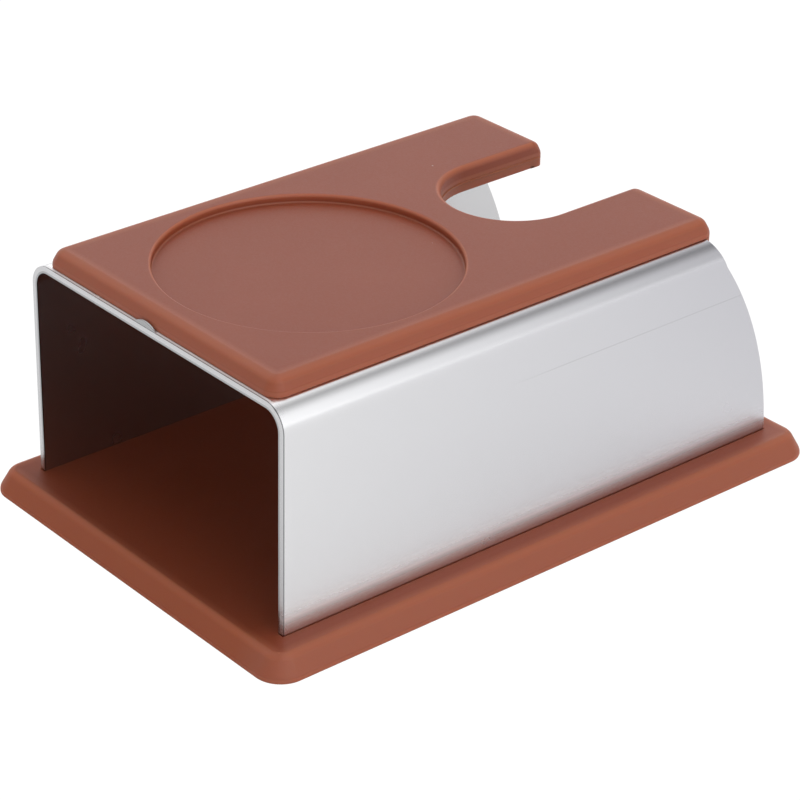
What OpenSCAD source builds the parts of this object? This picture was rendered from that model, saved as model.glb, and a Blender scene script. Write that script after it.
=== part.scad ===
// Tamper stand: a moulded base mat, an upturned U of bent sheet steel that stands in it,
// and a moulded top mat that lies on the steel and grips its notch.
// Lengths are in millimetres. +Z is up and +Y points to the notched end.
// The origin lies on the ground under the middle of the base mat.

/* [Base mat] */
// Length of the base mat along the ground, front to back
base_l = 150; // [146:0.5:190]
// Width of the base mat along the ground
base_w = 100; // [95:0.5:130]
// Thickness of the base mat
base_h = 5.3; // [4.2:0.1:8]
// Height of the upright band round the foot of the base mat
base_band_h = 0.9; // [0.8:0.1:2]
// How far the sloping edge of the base mat leans in
base_lean = 2.5; // [1:0.1:3.5]
// Corner radius of the base mat along the ground
base_corner_r = 6.2; // [5.2:0.2:16]
// Rounding of the edge between the slope and the top face of the base mat
base_edge_r = 1; // [0.4:0.1:1.6]
// Depth of the slots that the side plates stand in
slot_d = 3; // [1:0.1:3.4]

/* [Steel frame] */
// Width over the two side plates
frame_w = 83.8; // [79:0.2:88]
// Height of the frame's top face above the ground
frame_h = 55.2; // [45:0.2:70]
// Thickness of the sheet
sheet_t = 1.5; // [0.8:0.1:2]
// Inside radius of the two bends
bend_r = 4; // [2:0.25:5]
// Length of the side plates along the ground, before their back edge curves in
foot_l = 134.7; // [130:0.1:137]
// Length of the top plate
top_plate_l = 116; // [113:0.2:122]
// Radius of the arc that the back edges of the side plates follow
arc_r = 84; // [80:0.5:110]
// Distance from the front of the base mat to the frame
frame_inset = 8.3; // [6:0.1:9]

/* [Top mat] */
// Width of the top mat
mat_w = 75.9; // [68:0.1:77]
// Thickness of the top mat above the steel
mat_t = 3.8; // [3.4:0.1:6]
// Height of the upright band round the foot of the top mat
mat_band_h = 1; // [0.8:0.1:1.8]
// How far the sloping edge of the top mat leans in
mat_lean = 1.9; // [0.8:0.1:2.4]
// Corner radius of the top mat where it meets the steel
mat_corner_r = 3.6; // [3.2:0.1:8]
// Rounding of the edge between the slope and the top face of the top mat
mat_edge_r = 1.1; // [0.4:0.1:1.2]
// Distance from the front of the steel back to the top mat
mat_setback = 0.8; // [0.2:0.1:1.5]
// How far the top mat reaches past the back of the top plate
mat_overhang = 2.9; // [2.4:0.1:5]

/* [Recess] */
// Diameter of the round recess that the tamper stands in
recess_d = 64; // [50:0.2:66]
// Depth of the recess
recess_depth = 1.9; // [0.8:0.1:2.2]
// Distance from the front of the top mat to the middle of the recess
recess_inset = 38.8; // [37:0.2:40]
// Rounding of the recess rim
recess_rim_r = 0.65; // [0.2:0.05:0.75]

/* [Notch] */
// Width of the open notch at the back
notch_w = 30; // [24:0.5:34]
// Length of the notch from the back of the top mat to its round end
notch_l = 38.6; // [30:0.2:40]
// Rounding of the notch's top edge
notch_rim_r = 0.65; // [0.2:0.05:0.9]
// Rounding of the upright corners where the notch opens at the back
arm_corner_r = 1.7; // [0.4:0.1:2]
// Radius of the fine seam bead that runs round the notch wall
seam_r = 0.25; // [0.1:0.05:0.35]

/* [Rim under the top mat] */
// Thickness of the rim between the notch wall and the steel's cut edge
rim_t = 1.2; // [0.8:0.1:2]
// Thickness of the lip under the steel
lip_t = 0.5; // [0.3:0.1:1]
// How far the lip reaches under the steel
lip_reach = 0.8; // [0.4:0.1:1.5]
// Clearance between each mat and the sheet that it grips
fit_gap = 0.1; // [0.05:0.05:0.2]

/* [Tab] */
// Width of the half-moon tab that stands up from the steel's front edge
tab_w = 7.6; // [4:0.2:10]
// Height of the tab above the top plate
tab_h = 1.8; // [0.6:0.1:2]
// Distance of the tab's middle from the centre line, to the left
tab_offset = 2.4; // [0:0.2:10]
// Clearance between the tab and the nick in the top mat that it stands in
tab_gap = 0.2; // [0.1:0.05:0.4]

/* [Hidden] */
$fn = 96;

brown = [0.56, 0.33, 0.27];
steel = [0.80, 0.80, 0.82];

// Overlap that a cutter takes past the face it opens
past = 1;
// Chords in each rounded edge
edge_steps = 6;
// Rounding of each mat's lowest edge, and of the turn from its band to its slope
foot_r = 0.3;
turn_r = 0.8;

// The frame in side view
frame_y0 = -base_l / 2 + frame_inset;
frame_foot_z = base_h - slot_d;
plate_inner_x = frame_w / 2 - sheet_t;
flat_half_w = plate_inner_x - bend_r;
under_z = frame_h - sheet_t;
// The tab's front face stands this far behind the cut edge of the sheet
tab_inset = 0.1;
// The back edges of the side plates follow an arc about a point on the ground line
arc_y = frame_y0 + foot_l - arc_r;

// The top mat in side view. Its rim stays clear of the curved plate edges down to its foot.
rim_drop = sheet_t + fit_gap + lip_t;
rim_z = frame_h - rim_drop;
top_back_y = max(frame_y0 + top_plate_l, arc_y + sqrt(pow(arc_r, 2) - pow(rim_z, 2)));
rim_y = top_back_y + fit_gap;
mat_y0 = frame_y0 + mat_setback;
mat_y1 = top_back_y + mat_overhang;
mat_l = mat_y1 - mat_y0;
notch_half_w = notch_w / 2;
notch_y = mat_y1 - notch_l + notch_half_w;
lip_half_w = flat_half_w - fit_gap;

// Points of a rounded corner at b, on the way from a to c
function unit(v) = v / norm(v);
function rounded(a, b, c, r) =
    let (
        u = unit(a - b),
        v = unit(c - b),
        half = acos(u * v) / 2,
        centre = b + unit(u + v) * r / sin(half),
        start = b + u * r / tan(half) - centre,
        turn = (180 - 2 * half) * sign(start[0] * (v - u)[1] - start[1] * (v - u)[0])
    )
    [for (i = [0:edge_steps])
        let (s = turn * i / edge_steps)
        centre + [start[0] * cos(s) - start[1] * sin(s), start[0] * sin(s) + start[1] * cos(s)]];

// Section of a mat's edge as [distance in from the foot, height] points, from the ground up
function edge_section(height, band_h, lean, top_r) =
    let (
        inner = [lean + 4 * top_r, height],
        base_in = [lean + 4 * top_r, 0]
    )
    concat(
        rounded(base_in, [0, 0], [0, band_h], foot_r),
        rounded([0, 0], [0, band_h], [lean, height], turn_r),
        rounded([0, band_h], [lean, height], inner, top_r)
    );

// Slab with rounded corners whose four sides all have the same edge section
module edged_slab(width, length, corner_r, section) {
    height = section[len(section) - 1][1];
    half_w = width / 2;
    half_l = length / 2;
    // Straight sides facing left and right
    rotate([90, 0, 0])
        linear_extrude(length - 2 * corner_r, center = true)
            side_to_side(half_w, section);
    // Straight sides facing front and back
    rotate([90, 0, 90])
        linear_extrude(width - 2 * corner_r, center = true)
            side_to_side(half_l, section);
    for (quarter = [0:3]) {
        sx = (quarter == 0 || quarter == 3) ? 1 : -1;
        sy = quarter < 2 ? 1 : -1;
        translate([sx * (half_w - corner_r), sy * (half_l - corner_r), 0])
            rotate([0, 0, 90 * quarter])
                rotate_extrude(angle = 90)
                    polygon(concat(
                        [[0, 0]],
                        [for (p = section) [corner_r - p[0], p[1]]],
                        [[0, height]]
                    ));
    }
}

module side_to_side(half_w, section) {
    last = len(section) - 1;
    polygon(concat(
        [for (p = section) [half_w - p[0], p[1]]],
        [for (i = [last:-1:0]) [section[i][0] - half_w, section[i][1]]]
    ));
}

// Outline of the frame seen from the front: a rectangle with its two upper corners rounded
module bent_outline(half_w, top, r) {
    translate([-half_w, 0]) square([2 * half_w, top - r]);
    translate([r - half_w, 0]) square([2 * (half_w - r), top]);
    for (side = [-1, 1]) {
        translate([side * (half_w - r), top - r]) circle(r);
    }
}

// Outline of the frame seen from the side, up past the top plate and out past the front
module plate_outline() {
    plate_h = frame_h - frame_foot_z + past;
    translate([frame_y0 - past, frame_foot_z]) {
        square([top_plate_l + past, plate_h]);
        intersection() {
            translate([arc_y - frame_y0 + past, -frame_foot_z]) circle(arc_r, $fn = 256);
            square([foot_l + 2 * past, plate_h]);
        }
    }
}

// Plan of a notch that is open at the back, larger than the finished notch by extra
module notch_plan(extra) {
    r = notch_half_w + extra;
    translate([0, notch_y]) circle(r);
    translate([-r, notch_y]) square([2 * r, notch_l + past]);
}

// Plan of the top mat where it meets the steel
module mat_plan() {
    for (along = [0, 1]) {
        inset_x = along == 1 ? mat_corner_r : 0;
        inset_y = along == 1 ? 0 : mat_corner_r;
        translate([inset_x - mat_w / 2, mat_y0 + inset_y])
            square([mat_w - 2 * inset_x, mat_l - 2 * inset_y]);
    }
    for (sx = [-1, 1], sy = [0, 1]) {
        translate([sx * (mat_w / 2 - mat_corner_r), sy == 0 ? mat_y0 + mat_corner_r : mat_y1 - mat_corner_r])
            circle(mat_corner_r);
    }
}

module base_mat() {
    color(brown)
        difference() {
            edged_slab(base_w, base_l, base_corner_r, edge_section(base_h, base_band_h, base_lean, base_edge_r));
            for (side = [-1, 1]) {
                plate_slot(side);
            }
        }
}

// Slot in the base mat that one side plate stands in
module plate_slot(side) {
    slot_w = sheet_t + 2 * fit_gap;
    slot_l = foot_l + 2 * fit_gap;
    translate([side * (frame_w - sheet_t) / 2 - slot_w / 2, frame_y0 - fit_gap, frame_foot_z])
        cube([slot_w, slot_l, slot_d + past]);
}

// Half-moon at the front edge of the top plate, larger all round by extra, with its foot in the sheet
module tab_shape(extra) {
    width = tab_w + 2 * extra;
    height = tab_h + extra;
    depth = sheet_t + 2 * extra;
    arc = (pow(width / 2, 2) + pow(height, 2)) / (2 * height);
    translate([-tab_offset, frame_y0 + tab_inset - extra, frame_h])
        intersection() {
            translate([0, depth, height - arc])
                rotate([90, 0, 0])
                    cylinder(h = depth, r = arc);
            translate([-width, 0, -sheet_t / 2])
                cube([2 * width, depth, height + sheet_t]);
        }
}

module steel_frame() {
    color(steel) {
        bent_sheet();
        tab_shape(0);
    }
}

module bent_sheet() {
    difference() {
        intersection() {
            translate([0, frame_y0, 0])
                rotate([90, 0, 180])
                    linear_extrude(foot_l)
                        difference() {
                            bent_outline(frame_w / 2, frame_h, bend_r + sheet_t);
                            translate([0, -past]) bent_outline(plate_inner_x, under_z + past, bend_r);
                        }
            rotate([90, 0, 90])
                linear_extrude(frame_w + 2 * past, center = true)
                    plate_outline();
        }
        translate([0, 0, under_z - past])
            linear_extrude(sheet_t + 2 * past)
                notch_plan(rim_t + fit_gap);
    }
}

module top_mat() {
    color(brown) {
        difference() {
            union() {
                translate([0, (mat_y0 + mat_y1) / 2, frame_h])
                    edged_slab(mat_w, mat_l, mat_corner_r, edge_section(mat_t, mat_band_h, mat_lean, mat_edge_r));
                mat_rim();
                mat_lip();
            }
            translate([0, 0, rim_z - past])
                linear_extrude(rim_drop + mat_t + 2 * past)
                    notch_plan(0);
            notch_rounding();
            for (side = [-1, 1]) {
                arm_corner(side);
            }
            recess();
            tab_shape(tab_gap);
        }
        notch_seam();
    }
}

// Wall that drops through the notch and behind the top plate, past the edge of the steel
module mat_rim() {
    translate([0, 0, rim_z])
        linear_extrude(rim_drop)
            intersection() {
                mat_plan();
                union() {
                    notch_plan(rim_t);
                    translate([-mat_w / 2, rim_y]) square([mat_w, mat_l]);
                }
            }
}

// Lip at the foot of the rim that reaches under the steel
module mat_lip() {
    reach = fit_gap + lip_reach;
    translate([0, 0, rim_z])
        linear_extrude(lip_t)
            intersection() {
                mat_plan();
                union() {
                    notch_plan(rim_t + reach);
                    translate([-lip_half_w, rim_y - reach]) square([2 * lip_half_w, mat_l]);
                }
            }
}

// Section that is cut away to round an edge of radius r, with the edge at the origin
// and the solid to the right of it and below
module rounding_section(r) {
    difference() {
        translate([-past, -r]) square([past + r, r + past]);
        translate([r, -r]) circle(r);
        translate([r, -r]) square([past, r + past]);
        translate([-past, -r - past]) square([past + r, past]);
    }
}

// Rounds the top edge of the notch all the way along
module notch_rounding() {
    translate([0, notch_y, frame_h + mat_t]) {
        rotate([0, 0, 180])
            rotate_extrude(angle = 180)
                translate([notch_half_w, 0]) rounding_section(notch_rim_r);
        for (side = [0, 1]) {
            mirror([side, 0, 0])
                rotate([90, 0, 180])
                    linear_extrude(notch_l)
                        mirror([1, 0]) translate([notch_half_w, 0]) rounding_section(notch_rim_r);
        }
    }
}

// Rounds the upright corner of an arm where the notch opens at the back
module arm_corner(side) {
    translate([side * notch_half_w, mat_y1, rim_z - past])
        linear_extrude(rim_drop + mat_t + 2 * past)
            mirror([side < 0 ? 1 : 0, 0])
                rounding_section(arm_corner_r);
}

module recess() {
    translate([0, mat_y0 + recess_inset, frame_h + mat_t]) {
        translate([0, 0, -recess_depth]) cylinder(h = recess_depth + past, d = recess_d);
        rotate_extrude()
            translate([recess_d / 2, 0]) rounding_section(recess_rim_r);
    }
}

// Fine bead on the notch wall, level with the top of the steel
module notch_seam() {
    seam_l = mat_y1 - notch_y - arm_corner_r;
    translate([0, notch_y, frame_h]) {
        rotate([0, 0, 180])
            rotate_extrude(angle = 180)
                translate([notch_half_w, 0]) circle(seam_r, $fn = 16);
        for (side = [-1, 1]) {
            translate([side * notch_half_w, 0, 0])
                rotate([-90, 0, 0])
                    cylinder(h = seam_l, r = seam_r, $fn = 16);
        }
    }
}

base_mat();
steel_frame();
top_mat();
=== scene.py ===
import math

import bmesh
import bpy
from bpy.props import FloatProperty, FloatVectorProperty, PointerProperty
from mathutils import Matrix, Vector


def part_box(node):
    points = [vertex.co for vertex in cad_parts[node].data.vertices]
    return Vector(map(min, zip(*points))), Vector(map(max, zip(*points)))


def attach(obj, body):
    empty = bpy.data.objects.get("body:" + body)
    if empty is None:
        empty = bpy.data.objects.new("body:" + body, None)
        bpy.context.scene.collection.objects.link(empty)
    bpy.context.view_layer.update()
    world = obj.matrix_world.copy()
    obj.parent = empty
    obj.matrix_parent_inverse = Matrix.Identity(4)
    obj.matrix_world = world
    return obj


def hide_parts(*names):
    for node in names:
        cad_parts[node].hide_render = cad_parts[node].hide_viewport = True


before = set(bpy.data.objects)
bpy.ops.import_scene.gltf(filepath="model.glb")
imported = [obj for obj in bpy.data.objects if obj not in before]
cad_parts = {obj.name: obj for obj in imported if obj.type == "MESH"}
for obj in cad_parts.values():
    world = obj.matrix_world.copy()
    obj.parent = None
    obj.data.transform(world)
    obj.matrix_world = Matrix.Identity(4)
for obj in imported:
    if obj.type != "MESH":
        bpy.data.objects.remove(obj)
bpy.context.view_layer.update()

bl_info = {
    "name": "Tamper stand",
    "version": (1, 0, 0),
    "blender": (4, 5, 0),
    "location": "View3D > Sidebar > Tamper stand",
    "description": "Models a tamper stand of two moulded mats and a bent steel bridge, with its studio",
    "category": "Add Mesh",
}

MM = 0.001
NEAR = 1e-3         # millimetres within which a place counts as reached
WELD = 1e-4         # millimetres within which points become one
BEND_HOLD = 0.3     # millimetres of flat sheet drawn apart beside each bend
BASE_LOW, BASE_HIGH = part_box("base_mat")
STEEL_LOW, STEEL_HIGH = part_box("steel_frame")
TOP_LOW, TOP_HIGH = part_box("top_mat")


def length_value(name, description, default, low=0.0, high=1.0):
    """A length in metres that Blender shows in the scene's own unit."""
    return FloatProperty(name=name, description=description, default=default, min=low, max=high,
                         subtype="DISTANCE", unit="LENGTH", precision=5)


def colour_value(name, description, default):
    return FloatVectorProperty(name=name, description=description, default=default, size=3,
                               min=0.0, max=1.0, subtype="COLOR")


def share_value(name, description, default):
    return FloatProperty(name=name, description=description, default=default, min=0.0, max=1.0,
                         subtype="FACTOR")


class BaseMatSizes(bpy.types.PropertyGroup):
    """Sizes of the mat that the frame stands in."""
    width: length_value("Width", "Width along the ground", BASE_HIGH.x - BASE_LOW.x)
    length: length_value("Length", "Length along the ground", BASE_HIGH.y - BASE_LOW.y)
    height: length_value("Thickness", "Thickness of the mat", BASE_HIGH.z)
    band: length_value("Band", "Height of the upright band round the foot", 0.9 * MM)
    lean: length_value("Lean", "How far the sloping edge leans in", 2.5 * MM)
    corner: length_value("Corner radius", "Corner radius along the ground", 6.2 * MM)
    ridge: length_value("Ridge rounding", "Tangent length of the rounding between slope and top", 1.25 * MM)
    band_round: length_value("Band rounding", "Rounding between band and slope", 0.5 * MM)
    foot_round: length_value("Foot rounding", "Rounding of the lowest edge", 0.3 * MM)
    slot_gap: length_value("Slot clearance", "Gap between the slots and the sheet's outer face", 0.12 * MM)
    slot_fit: length_value("Slot fit", "Gap between the slots and the sheet's inner face", 0.02 * MM)
    slot_edge: length_value("Slot edge", "Rounding of the slots' top edges", 0.12 * MM)


class FrameSizes(bpy.types.PropertyGroup):
    """Sizes of the bent steel frame."""
    width: length_value("Width", "Width over the two side plates", STEEL_HIGH.x - STEEL_LOW.x)
    length: length_value("Foot length", "Length of the side plates along the ground", 134.7 * MM)
    foot: length_value("Foot height", "Height of the side plates' lowest edge", STEEL_LOW.z)
    height: length_value("Height", "Height of the top face above the ground", 55.2 * MM)
    sheet: length_value("Sheet", "Thickness of the sheet", 1.5 * MM)
    bend: length_value("Bend radius", "Inside radius of the bends", 4.0 * MM)
    top_length: length_value("Top plate", "Length of the top plate", 116.0 * MM)
    arc: length_value("Arc radius", "Radius of the curved back edges", 84.0 * MM)
    cut_edge: length_value("Edge break", "Width of the broken edge round the sheet", 0.14 * MM)
    notch_gap: length_value("Notch clearance", "Gap between the mat's rim and the cut notch", 0.1 * MM)
    tab_width: length_value("Tab width", "Width of the half-moon tab at the front edge", 7.2 * MM)
    tab_height: length_value("Tab height", "Height of the tab above the top plate", 1.2 * MM)
    tab_depth: length_value("Tab depth", "Thickness of the tab", 0.5 * MM)
    tab_offset: length_value("Tab place", "Distance of the tab from the middle, to the left", 2.4 * MM)
    tab_inset: length_value("Tab setback", "Distance of the tab behind the sheet's cut edge", 0.1 * MM)
    tab_gap: length_value("Tab clearance", "Gap between the tab and the mat", 0.2 * MM)
    tab_edge: length_value("Tab edge", "Rounding of the tab's edges", 0.12 * MM)


class TopMatSizes(bpy.types.PropertyGroup):
    """Sizes of the mat that lies on the steel."""
    width: length_value("Width", "Width of the mat", TOP_HIGH.x - TOP_LOW.x)
    length: length_value("Length", "Length of the mat", TOP_HIGH.y - TOP_LOW.y)
    height: length_value("Thickness", "Thickness above the steel", 3.8 * MM)
    band: length_value("Band", "Height of the upright band round the foot", 1.0 * MM)
    band_round: length_value("Band rounding", "Rounding between band and slope", 0.6 * MM)
    foot_round: length_value("Foot rounding", "Rounding of the lowest edge", 0.28 * MM)
    lean: length_value("Lean", "How far the sloping edge leans in", 1.55 * MM)
    corner: length_value("Corner radius", "Corner radius where the mat meets the steel", 3.6 * MM)
    arm_corner: length_value("Arm corner", "Rounding of the corners where the notch opens", 1.7 * MM)
    ridge: length_value("Ridge rounding", "Tangent length of the rounding of the top edges", 1.3 * MM)
    notch_width: length_value("Notch width", "Width of the open notch", 30.0 * MM)
    notch_length: length_value("Notch length", "Length of the notch", 38.6 * MM)
    recess: length_value("Recess", "Diameter of the round recess", 64.0 * MM)
    recess_depth: length_value("Recess depth", "Depth of the round recess", 1.9 * MM)
    recess_inset: length_value("Recess place", "Distance from the mat's front to the recess's middle",
                               38.8 * MM)
    recess_rim: length_value("Recess rim", "Rounding of the recess rim", 0.65 * MM)
    recess_fillet: length_value("Recess fillet", "Fillet between the recess's wall and floor", 0.45 * MM)
    rim: length_value("Rim", "Thickness of the rim round the notch", 1.2 * MM)
    lip: length_value("Lip", "Thickness of the lip under the steel", 0.5 * MM)
    lip_reach: length_value("Lip reach", "How far the lip reaches under the steel", 0.9 * MM)
    lip_edge: length_value("Lip edge", "Broken edge at the foot of the notch wall", 0.15 * MM)
    seam: length_value("Seam", "Radius of the seam bead on the notch wall", 0.25 * MM)


class StandFinish(bpy.types.PropertyGroup):
    """Colours and surface values of the stand."""
    rubber: colour_value("Rubber", "Body colour of both mats", (0.262, 0.048, 0.015))
    rubber_dusty: colour_value("Rubber, dull", "Colour of the duller, paler patches", (0.272, 0.053, 0.019))
    # Painted highlight: lighter colour painted on the mats' rounded edges, sloping faces and foot band
    rubber_painted_highlight: colour_value("Rubber, edges", "Painted highlight on the rounded edges, sloping faces and foot band",
                              (0.43, 0.130, 0.062))
    rubber_deep: colour_value("Rubber, deep", "Colour of the level rubber in the frame's shade",
                              (0.06, 0.012, 0.004))
    rubber_dust: colour_value("Dust on rubber", "Colour of the dust on the mats", (0.62, 0.55, 0.50))
    rubber_rough: share_value("Rubber roughness", "Roughness of both mats", 0.50)
    shelter_gloss: share_value("Gloss under the frame", "Specular level of the base mat there", 0.22)
    shelter_shade: share_value("Shade under the frame", "How dark the base mat's front is there", 0.30)
    # Reach of the painted highlight on the mats' edges
    painted_highlight_reach: length_value("Painted edge highlight", "How far the lighter edges reach in", 2.8 * MM)
    steel: colour_value("Steel", "Colour of the steel at the front", (0.86, 0.86, 0.875))
    # Painted shade: the steel's colour towards the back, darker for its dimmer reflection
    steel_painted_back_shade: colour_value("Steel, back", "Colour of the steel at the back", (0.61, 0.605, 0.648))
    steel_marks: colour_value("Marks on steel", "Colour of scratches on the steel", (0.30, 0.30, 0.31))
    steel_dust: colour_value("Dust on steel", "Colour of the dust on the steel", (0.45, 0.45, 0.46))
    # Painted shade: the dark line along the broken front edge
    steel_painted_edge_shade: colour_value("Broken edge", "Colour of the painted shade line beside the cut front edge",
                             (0.12, 0.12, 0.13))
    # Painted shade: dark brown at the foot of the side plates where they enter the base mat
    steel_painted_foot_shade: colour_value("Steel, foot", "Colour of the steel where it enters the base mat",
                              (0.10, 0.045, 0.03))
    steel_rough: share_value("Steel roughness", "Roughness of the brushed steel", 0.27)
    # Painted shade: tone of the inner faces, darker for the shade inside the frame
    steel_painted_inside_shade: share_value("Steel, inside", "How dark the inner faces are painted, as painted shade", 0.55)


class StudioValues(bpy.types.PropertyGroup):
    """Light and background."""
    floor: colour_value("Floor", "Colour of the floor", (0.97, 0.97, 0.97))
    sky: FloatProperty(name="Sky", description="Strength of the even light all round", default=1.12,
                       min=0.0, max=4.0)
    floor_size: length_value("Floor size", "Width of the floor", 6.0, high=50.0)


def settings():
    return bpy.context.scene.tamper_stand


class StandSettings(bpy.types.PropertyGroup):
    """All values of the stand."""
    base_mat: PointerProperty(type=BaseMatSizes, name="Base mat", description="Sizes of the base mat")
    steel: PointerProperty(type=FrameSizes, name="Steel frame", description="Sizes of the steel frame")
    top_mat: PointerProperty(type=TopMatSizes, name="Top mat", description="Sizes of the top mat")
    finish: PointerProperty(type=StandFinish, name="Finish", description="Colours and surface values")
    studio: PointerProperty(type=StudioValues, name="Studio", description="Light and background")


# Shape helpers: every mesh is built in millimetres and ends in metres


def mm(value):
    return value / MM


def verts_in(geom):
    return [g for g in geom if isinstance(g, bmesh.types.BMVert)]


def edges_in(geom):
    return [g for g in geom if isinstance(g, bmesh.types.BMEdge)]


def faces_in(geom):
    return [g for g in geom if isinstance(g, bmesh.types.BMFace)]


def mid(face):
    return face.calc_center_median()


def move(bm, verts, by):
    bmesh.ops.translate(bm, vec=by, verts=verts)


def level_verts(bm, z):
    return [v for v in bm.verts if abs(v.co.z - z) < WELD]


def flat_rectangle(bm, low, high, z):
    """One face from corner low to corner high."""
    made = bmesh.ops.create_grid(bm, x_segments=1, y_segments=1, size=0.5)
    bmesh.ops.scale(bm, vec=(high[0] - low[0], high[1] - low[1], 1), verts=made["verts"])
    move(bm, made["verts"], ((low[0] + high[0]) / 2, (low[1] + high[1]) / 2, z))


def round_corners(bm, spots, radius, segments):
    """Rounds the corners of a flat outline that lie at the given x, y spots."""
    corners = [v for v in bm.verts if any(abs(v.co.x - x) + abs(v.co.y - y) < NEAR for x, y in spots)]
    if len(corners) != len(spots):
        raise RuntimeError("a corner to be rounded is missing from the outline")
    bmesh.ops.bevel(bm, geom=corners, offset=radius, offset_type="OFFSET", segments=segments,
                    profile=0.5, affect="VERTICES", material=-1)


def lift(bm, face, height):
    """Draws a face up by height and gives the new top face; a face that walls already surround goes."""
    inner = all(len(e.link_faces) == 2 for e in face.edges)
    made = bmesh.ops.extrude_face_region(bm, geom=[face])["geom"]
    move(bm, verts_in(made), (0, 0, height))
    if inner and face.is_valid:
        bmesh.ops.delete(bm, geom=[face], context="FACES_ONLY")
    return faces_in(made)[0]


def round_edges(bm, edges, offset, segments):
    """Rounds edges, each side by offset."""
    if not edges:
        raise RuntimeError("no edges to round")
    bmesh.ops.bevel(bm, geom=edges, offset=offset, offset_type="OFFSET", segments=segments,
                    profile=0.5, affect="EDGES", material=-1, clamp_overlap=False)


def loop_edges(bm, z):
    """Edges that lie flat at one height and turn a corner there."""
    bm.normal_update()
    return [e for e in bm.edges
            if all(abs(v.co.z - z) < WELD for v in e.verts) and len(e.link_faces) == 2
            and e.calc_face_angle(0.0) > math.radians(3)]


def lean_in(bm, z, half_w, low_y, high_y, corner, lean):
    """Draws the outline at height z in by lean, each corner about its own centre."""
    ring = level_verts(bm, z)
    share = (corner - lean) / corner
    for side_x in (-1, 1):
        for end_y, side_y in ((low_y, -1), (high_y, 1)):
            centre = (side_x * (half_w - corner), end_y - side_y * corner, 0)
            arc = [v for v in ring if (v.co.x - centre[0]) * side_x > -WELD
                   and (v.co.y - centre[1]) * side_y > -WELD]
            bmesh.ops.scale(bm, vec=(share, share, 1), space=Matrix.Translation(centre).inverted(), verts=arc)


def cut(bm, geom, spot, normal, clear_outer=False):
    """Cuts geometry with a plane; what the normal points at goes with clear_outer."""
    return bmesh.ops.bisect_plane(bm, geom=geom, dist=1e-5, plane_co=spot, plane_no=normal,
                                  clear_outer=clear_outer, clear_inner=False)


def whole(bm, faces=None):
    """Geometry of the given faces, or of all, as bisect_plane takes it."""
    if faces is None:
        return bm.verts[:] + bm.edges[:] + bm.faces[:]
    edges = dict.fromkeys(e for f in faces for e in f.edges)
    verts = dict.fromkeys(v for f in faces for v in f.verts)
    return [*verts, *edges, *faces]


def lathe(bm, points, centre, steps):
    """Spins an open profile of x, z points once round an upright axis at centre."""
    verts = [bm.verts.new((centre[0] + x, centre[1], z)) for x, z in points]
    edges = [bm.edges.new(pair) for pair in zip(verts, verts[1:])]
    bmesh.ops.spin(bm, geom=verts + edges, cent=(*centre, 0), axis=(0, 0, 1), dvec=(0, 0, 0),
                   angle=2 * math.pi, steps=steps, use_merge=True, use_duplicate=False)


def arc_points(centre, radius, start, end, count):
    """Points on an arc, angles in degrees from +X towards +Z."""
    turns = [math.radians(start + (end - start) * i / count) for i in range(count + 1)]
    return [(centre[0] + radius * math.cos(t), centre[1] + radius * math.sin(t)) for t in turns]


def finish_piece(name, bm, material, node, sharp=40.0):
    """Turns a mesh in millimetres into the finished piece that stands for a node of the frame."""
    bmesh.ops.remove_doubles(bm, verts=bm.verts, dist=WELD)
    bmesh.ops.recalc_face_normals(bm, faces=bm.faces)
    mesh = bpy.data.meshes.new(name)
    bm.to_mesh(mesh)
    bm.free()
    piece = bpy.data.objects.new(name, mesh)
    bpy.context.scene.collection.objects.link(piece)
    smooth = piece.modifiers.new("Face weighted normals", "WEIGHTED_NORMAL")
    smooth.keep_sharp = True
    smooth.weight = 100
    piece.data.polygons.foreach_set("use_smooth", [True] * len(piece.data.polygons))
    piece.data.set_sharp_from_angle(angle=math.radians(sharp))
    done = bpy.data.meshes.new_from_object(piece.evaluated_get(bpy.context.evaluated_depsgraph_get()))
    piece.modifiers.clear()
    piece.data = done
    done.name = name
    done.transform(Matrix.Scale(MM, 4))
    done.materials.clear()
    done.materials.append(material)
    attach(piece, "root")
    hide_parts(node)
    return piece


# Materials


def new_group(name, inputs, outputs):
    """A node group with the given sockets, and its input and output nodes."""
    group = bpy.data.node_groups.new(name, "ShaderNodeTree")
    for label, kind, default in inputs:
        socket = group.interface.new_socket(name=label, in_out="INPUT", socket_type=kind)
        if default is not None:
            socket.default_value = default
    for label, kind in outputs:
        group.interface.new_socket(name=label, in_out="OUTPUT", socket_type=kind)
    return group, group.nodes.new("NodeGroupInput"), group.nodes.new("NodeGroupOutput")


def math_node(tree, operation, first, second=None):
    """The result of one sum; each side is a number or another node's output."""
    node = tree.nodes.new("ShaderNodeMath")
    node.operation = operation
    for socket, value in zip(node.inputs, (first, second)):
        if value is None:
            continue
        if isinstance(value, bpy.types.NodeSocket):
            tree.links.new(value, socket)
        else:
            socket.default_value = value
    return node.outputs[0]


def times(tree, first, second):
    return math_node(tree, "MULTIPLY", first, second)


def rest(tree, value):
    """What is left of one."""
    return math_node(tree, "SUBTRACT", 1.0, value)


def noise(tree, vector, scale, detail=2.0, rough=0.5):
    node = tree.nodes.new("ShaderNodeTexNoise")
    tree.links.new(vector, node.inputs["Vector"])
    if isinstance(scale, bpy.types.NodeSocket):
        tree.links.new(scale, node.inputs["Scale"])
    else:
        node.inputs["Scale"].default_value = scale
    node.inputs["Detail"].default_value = detail
    node.inputs["Roughness"].default_value = rough
    return node.outputs["Fac"]


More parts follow.
